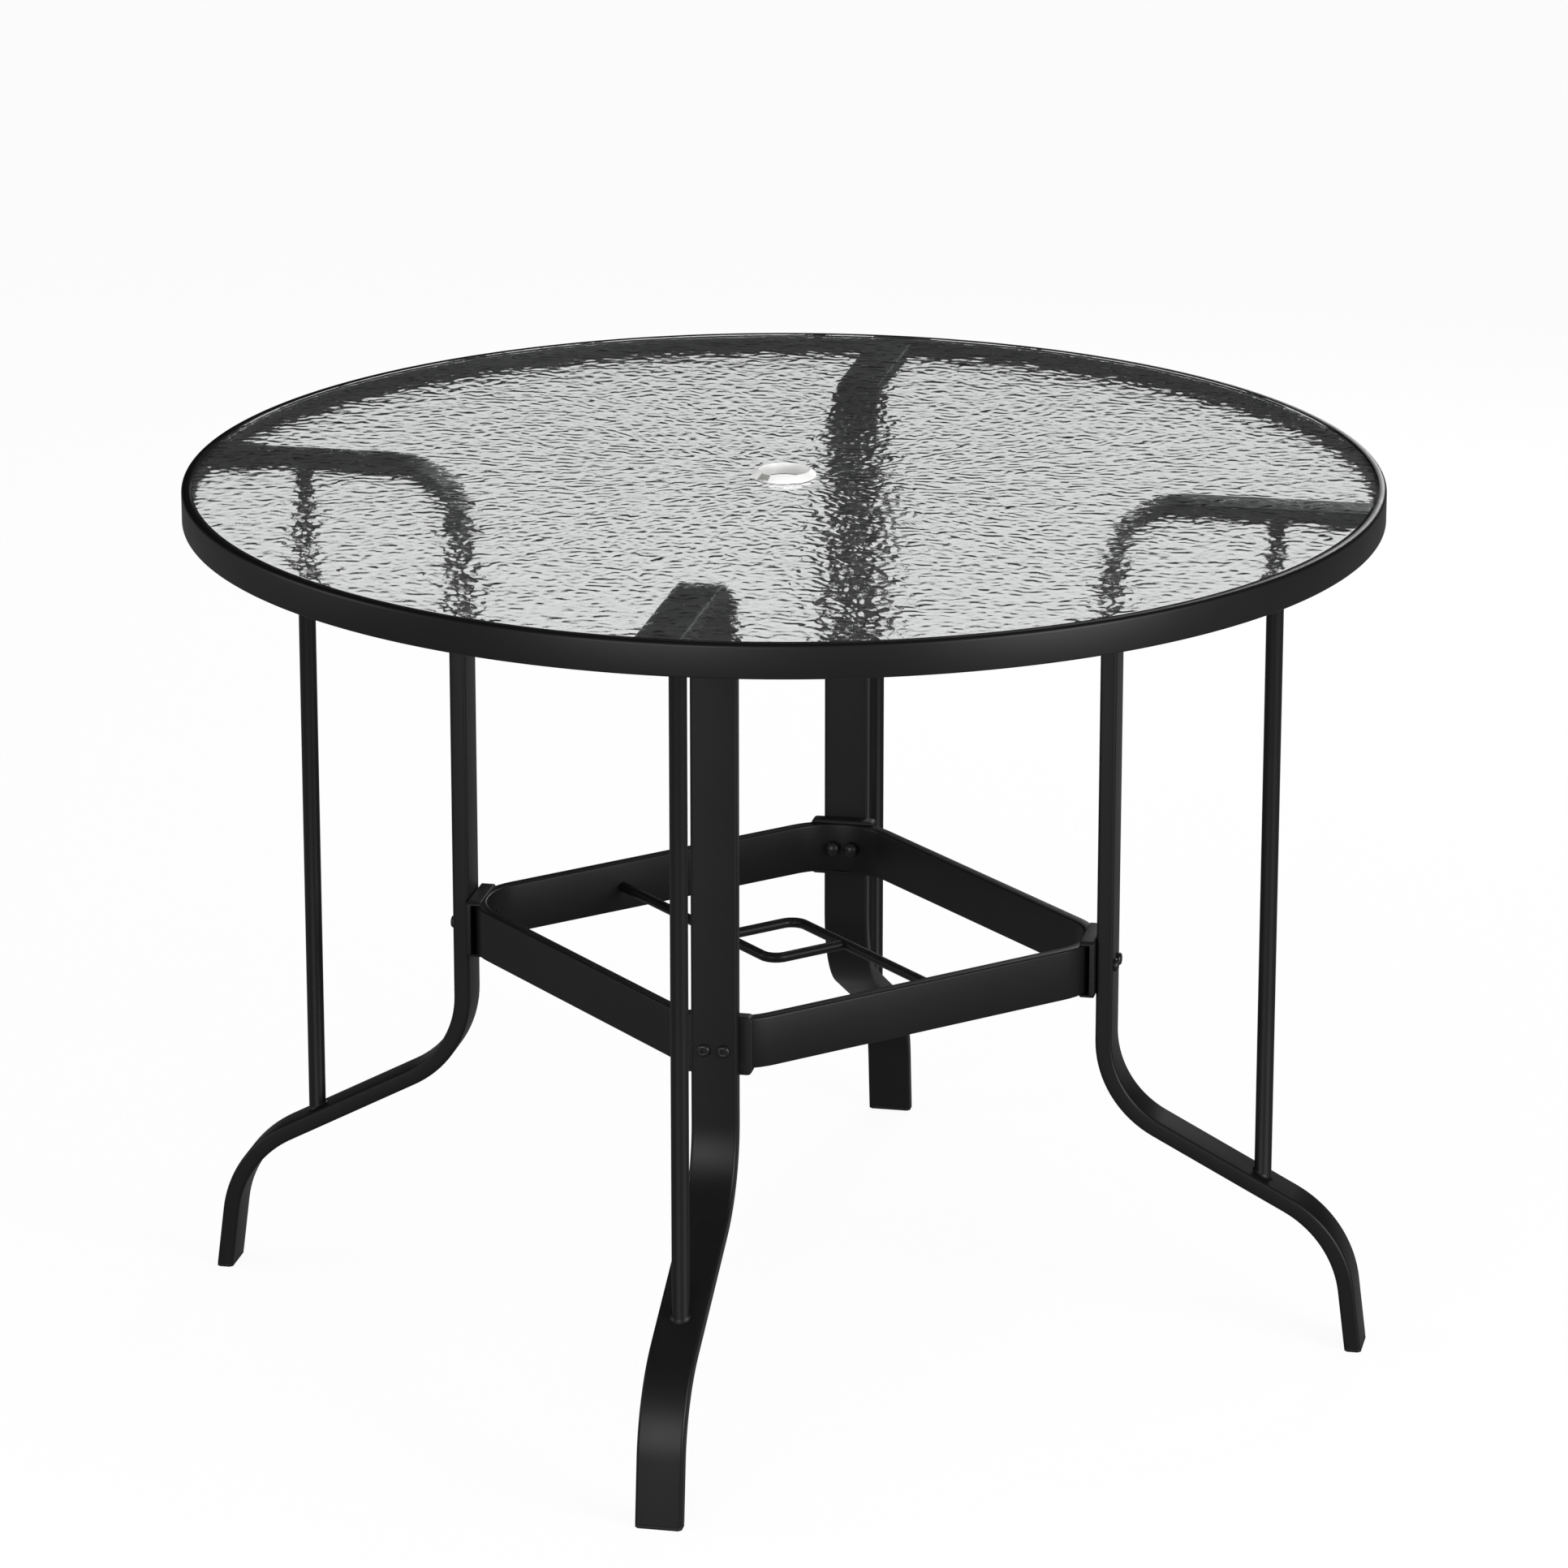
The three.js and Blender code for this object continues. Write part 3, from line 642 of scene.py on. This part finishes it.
def softened(name, node, finish, width):
    """A CAD piece rebuilt with flat faces joined and its sharp edges rounded, as moulded or pressed."""
    mesh = bpy.data.meshes.new(name)
    bm = bmesh.new()
    bm.from_mesh(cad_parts[node].data)
    bmesh.ops.remove_doubles(bm, verts=bm.verts, dist=PRESSED_JOIN * MM)
    bmesh.ops.dissolve_limit(bm, angle_limit=FLAT_FOLD, verts=bm.verts, edges=bm.edges)
    sharp = [edge for edge in bm.edges if edge.is_manifold and edge.calc_face_angle() > SHARP_FOLD]
    bmesh.ops.bevel(
        bm, geom=sharp, offset=width * MM, offset_type="OFFSET", segments=SOFT_EDGE_CUTS, profile=0.5,
        affect="EDGES", clamp_overlap=True,
    )
    bm.to_mesh(mesh)
    bm.free()
    obj = bpy.data.objects.new(name, mesh)
    bpy.context.scene.collection.objects.link(obj)
    dress(name, obj, finish, "frame", node, sharp_degrees=30)


def button_screw(name, node, tip, seat, spin):
    """Button-head screw with a hexagon socket; spin carries the local Z axis to its axis."""
    crown = [
        (
            BOLT_CROWN_RADIUS + (BOLT_HEAD_RADIUS - BOLT_CROWN_RADIUS) * math.cos(a),
            BOLT_HEAD_SIDE + (BOLT_HEAD_HEIGHT - BOLT_HEAD_SIDE) * math.sin(a),
        )
        for a in np.linspace(0, QUARTER, SCREW_CROWN_POINTS)
    ]
    profile = [
        (0.0, -tip),
        (BOLT_SHANK_RADIUS - SCREW_TIP_CHAMFER, -tip),
        (BOLT_SHANK_RADIUS, SCREW_TIP_CHAMFER - tip),
        (BOLT_SHANK_RADIUS, 0.0),
        (BOLT_HEAD_RADIUS - SCREW_HEAD_EDGE, 0.0),
        (BOLT_HEAD_RADIUS, SCREW_HEAD_EDGE),
        *crown,
        (SOCKET_RADIUS + SOCKET_EDGE_WIDTH, BOLT_HEAD_HEIGHT),
        (SOCKET_RADIUS, BOLT_HEAD_HEIGHT - SOCKET_EDGE_DEPTH),
        (SOCKET_RADIUS, BOLT_HEAD_HEIGHT - SOCKET_DEPTH),
        (0.0, BOLT_HEAD_HEIGHT - SOCKET_DEPTH),
    ]
    hexagonal = (len(profile) - 3, len(profile) - 2)
    rings = turned_piece(profile, SCREW_CUTS, hexagonal)
    points, faces = skin(rings)
    points = (np.array(spin.to_3x3()) @ points.T).T + seat
    obj = make_piece(name, points, faces, ZINC, "frame", node)
    tidy_axis(obj)


def tidy_axis(obj):
    """Welds the points that a turned piece leaves on its axis."""
    bm = bmesh.new()
    bm.from_mesh(obj.data)
    bmesh.ops.remove_doubles(bm, verts=bm.verts, dist=AXIS_JOIN * MM)
    bmesh.ops.dissolve_degenerate(bm, edges=bm.edges, dist=AXIS_SLIVER * MM)
    bm.to_mesh(obj.data)
    bm.free()


def cap_nut(name, node, seat, angle):
    """Domed cap nut: a short plain side and a round crown, its open face against the frame."""
    height = nut_high[0] - nut_low[0]
    crown = [
        (CAP_NUT_RADIUS * math.cos(a), CAP_NUT_SIDE + (height - CAP_NUT_SIDE) * math.sin(a))
        for a in np.linspace(0, QUARTER, NUT_CROWN_POINTS)
    ]
    bore = BOLT_SHANK_RADIUS + BORE_CLEARANCE
    profile = [
        (0.0, height - CAP_NUT_WALL),
        (bore, height - CAP_NUT_WALL),
        (bore, 0.0),
        (CAP_NUT_RADIUS - CAP_NUT_EDGE, 0.0),
        (CAP_NUT_RADIUS, CAP_NUT_EDGE),
        *crown,
    ]
    points, faces = skin(turned_piece(profile, NUT_CUTS))
    spin = np.array(Matrix.Rotation(-QUARTER, 3, "Y"))
    obj = make_piece(name, turn((spin @ points.T).T + seat, angle), faces, ZINC, "frame", node)
    tidy_axis(obj)


def leg_hardware(side, angle):
    """Saddle, plug, tab, tab screw, two bolts and two cap nuts of one leg."""
    softened(f"corner_saddle_{side}", f"frame_saddle_{side}", NYLON, SADDLE_ROUND)
    softened(f"foot_cap_{side}", f"foot_plug_{side}", NYLON, PLUG_ROUND)
    softened(f"welded_tab_{side}", f"rim_tab_{side}", POWDER_COAT, TAB_ROUND)
    facing = Matrix.Rotation(angle, 4, "Z")
    screw_low, screw_high = mm_box(f"tab_screw_{side}")
    head_seat = screw_low[2] + BOLT_HEAD_HEIGHT
    screw_place = turn([[tab_high[0] - TAB_SCREW_INSET, 0, head_seat]], angle)[0]
    button_screw(
        f"tab_fixing_{side}", f"tab_screw_{side}", screw_high[2] - head_seat,
        screw_place, facing @ Matrix.Rotation(math.pi, 4, "X"),
    )
    bolt_seat = bolt_high[0] - BOLT_HEAD_HEIGHT
    for number, y in ((1, -BOLT_SPACING / 2), (2, BOLT_SPACING / 2)):
        button_screw(
            f"frame_fixing_{side}_{number}", f"frame_bolt_{side}_{number}", bolt_seat - bolt_low[0],
            turn([[bolt_seat, y, FRAME_MIDDLE]], angle)[0], facing @ Matrix.Rotation(QUARTER, 4, "Y"),
        )
        cap_nut(
            f"domed_nut_{side}_{number}", f"cap_nut_{side}_{number}",
            np.array([nut_high[0], y, FRAME_MIDDLE]), angle,
        )


rim_ring()
glass_disc = glass_top()
hole_ring()
lower_frame()
guide_rod("right", -QUARTER / 2)
guide_rod("left", 3 * QUARTER / 2)
for quarter, side in enumerate(SIDES):
    bent_leg(side, QUARTER * quarter)
    brace_rod(side, QUARTER * quarter)
    leg_hardware(side, QUARTER * quarter)


# Camera: the photograph's viewing angle, fitted to the rim, legs, rods and feet
CAMERA_AZIMUTH = math.radians(11.55)
CAMERA_ELEVATION = math.radians(17.49)
CAMERA_DISTANCE = 5697.0
CAMERA_LENS = 160.7
SENSOR_WIDTH = 36.0
AIM_HEIGHT = 451.5
# Metres
CLIP_NEAR = 0.1
CLIP_FAR = 100.0


def photo_camera():
    """Camera that looks at the middle of the table from where the photograph was taken."""
    data = bpy.data.cameras.new("photo_camera")
    data.lens = CAMERA_LENS
    data.sensor_width = SENSOR_WIDTH
    data.clip_start, data.clip_end = CLIP_NEAR, CLIP_FAR
    camera = bpy.data.objects.new("photo_camera", data)
    bpy.context.scene.collection.objects.link(camera)
    back = Vector((
        math.sin(CAMERA_AZIMUTH) * math.cos(CAMERA_ELEVATION),
        -math.cos(CAMERA_AZIMUTH) * math.cos(CAMERA_ELEVATION),
        math.sin(CAMERA_ELEVATION),
    ))
    camera.location = Vector((0, 0, AIM_HEIGHT * MM)) + back * CAMERA_DISTANCE * MM
    camera.rotation_mode = "QUATERNION"
    camera.rotation_quaternion = (-back).to_track_quat("-Z", "Y")
    bpy.context.scene.camera = camera


# Strength of the floor and the world for each kind of ray, where 1 is white
FLOOR_SEEN = 0.92
FLOOR_THROUGH_GLASS = 1.02
FLOOR_MIRRORED = 0.1734
FLOOR_FAR_SHARE = 0.5
WORLD_SEEN = 0.97
WORLD_ON_MATT = 0.56
WORLD_THROUGH_GLASS = 0.304
WORLD_INSIDE_GLASS = 0.184
WORLD_MIRRORED = 0.0096

# Metres from the middle: where the floor starts and ends to fade through glass, and where it ends
FADE_START = 5.4
FADE_END = 8.0
FLOOR_REACH = 30.0

LAMP_AIM_HEIGHT = 0.45
# Azimuth from the front and elevation in degrees, then distance, width and height in metres, and watts
SOFTBOXES = {
    "key_softbox": (60, 10, 3.2, 1.6, 1.4, 80),
    "fill_softbox": (-10, 8, 3.4, 1.8, 1.4, 50),
    "side_softbox": (-75, 12, 3.4, 1.4, 1.4, 22),
    "rear_softbox": (172, 20, 3.2, 0.7, 0.7, 18),
}


def studio_floor():
    """Paper floor: white to the camera, dimmer far away through the glass, dark in a mirror."""
    material, tree, place = new_material("white_studio_paper")
    away = add_node(tree, "ShaderNodeVectorMath", {"operation": "LENGTH"}, [place]).outputs["Value"]
    fade = add_node(tree, "ShaderNodeMapRange", {
        "Value": away, "From Min": FADE_START, "From Max": FADE_END,
        "To Min": FLOOR_THROUGH_GLASS, "To Max": FLOOR_THROUGH_GLASS * FLOOR_FAR_SHARE,
    })
    path = add_node(tree, "ShaderNodeLightPath").outputs
    mirrored = add_node(
        tree, "ShaderNodeMath", {"operation": "MULTIPLY"}, [path["Is Glossy Ray"], FLOOR_MIRRORED],
    )
    through = add_node(tree, "ShaderNodeMath", {"operation": "MULTIPLY"}, [path["Is Transmission Ray"], fade])
    either = add_node(tree, "ShaderNodeMath", {"operation": "MAXIMUM"}, [mirrored, through])
    seen = add_node(tree, "ShaderNodeMath", {"operation": "MULTIPLY"}, [path["Is Camera Ray"], FLOOR_SEEN])
    level = add_node(tree, "ShaderNodeMath", {"operation": "MAXIMUM"}, [seen, either])
    glow = add_node(tree, "ShaderNodeEmission", {"Strength": level})
    paper = add_node(tree, "ShaderNodeBsdfDiffuse", {"Color": linear("505050")})
    both = add_node(tree, "ShaderNodeAddShader", feeds=[glow, paper])
    add_node(tree, "ShaderNodeOutputMaterial", {"Surface": both})
    mesh = bpy.data.meshes.new("studio_floor")
    corners = [(x * FLOOR_REACH, y * FLOOR_REACH, 0) for x, y in ((-1, -1), (1, -1), (1, 1), (-1, 1))]
    mesh.from_pydata(corners, [], [(0, 1, 2, 3)])
    mesh.materials.append(material)
    floor = bpy.data.objects.new("studio_floor", mesh)
    bpy.context.scene.collection.objects.link(floor)


def studio_world():
    """White to the camera, soft for matt surfaces, grey through glass and dark in a mirror.

    What the underside of the glass mirrors upward is the darker of the two greys.
    """
    world = bpy.data.worlds.new("studio_world")
    bpy.context.scene.world = world
    world.use_nodes = True
    tree = world.node_tree
    tree.nodes.clear()
    path = add_node(tree, "ShaderNodeLightPath").outputs
    soft = add_node(
        tree, "ShaderNodeMath", {"operation": "MULTIPLY"}, [path["Is Diffuse Ray"], WORLD_ON_MATT],
    )
    seen = add_node(tree, "ShaderNodeMath", {"operation": "MULTIPLY"}, [path["Is Camera Ray"], WORLD_SEEN])
    inside = add_node(tree, "ShaderNodeMapRange", {
        "Value": path["Glossy Depth"], "To Min": WORLD_THROUGH_GLASS, "To Max": WORLD_INSIDE_GLASS,
    })
    through = add_node(
        tree, "ShaderNodeMath", {"operation": "MULTIPLY"}, [path["Is Transmission Ray"], inside],
    )
    open_air = add_node(tree, "ShaderNodeMath", {"operation": "MAXIMUM"}, [soft, seen])
    level = add_node(tree, "ShaderNodeMath", {"operation": "MAXIMUM"}, [open_air, through])
    lowest = add_node(tree, "ShaderNodeMath", {"operation": "MAXIMUM"}, [level, WORLD_MIRRORED])
    back = add_node(tree, "ShaderNodeBackground", {"Color": linear("ffffff"), "Strength": lowest})
    add_node(tree, "ShaderNodeOutputWorld", {"Surface": back})


def softbox(name, azimuth, elevation, distance, width, height, watts, unlit):
    """Rectangular lamp aimed at the middle of the table, which lights all but what is unlit."""
    data = bpy.data.lights.new(name, "AREA")
    data.shape = "RECTANGLE"
    data.size, data.size_y = width, height
    data.energy = watts
    lamp = bpy.data.objects.new(name, data)
    bpy.context.scene.collection.objects.link(lamp)
    a, e = math.radians(azimuth), math.radians(elevation)
    away = Vector((math.sin(a) * math.cos(e), -math.cos(a) * math.cos(e), math.sin(e)))
    lamp.location = Vector((0, 0, LAMP_AIM_HEIGHT)) + away * distance
    lamp.rotation_mode = "QUATERNION"
    lamp.rotation_quaternion = (-away).to_track_quat("-Z", "Y")
    lamp.light_linking.receiver_collection = unlit


photo_camera()
studio_floor()
studio_world()
# The glass would mirror the lamps as white patches
unlit_glass = bpy.data.collections.new("unlit_glass")
unlit_glass.objects.link(glass_disc)
unlit_glass.collection_objects[0].light_linking.link_state = "EXCLUDE"
for name, place_size_watts in SOFTBOXES.items():
    softbox(name, *place_size_watts, unlit_glass)

bpy.context.scene.view_settings.view_transform = "Standard"
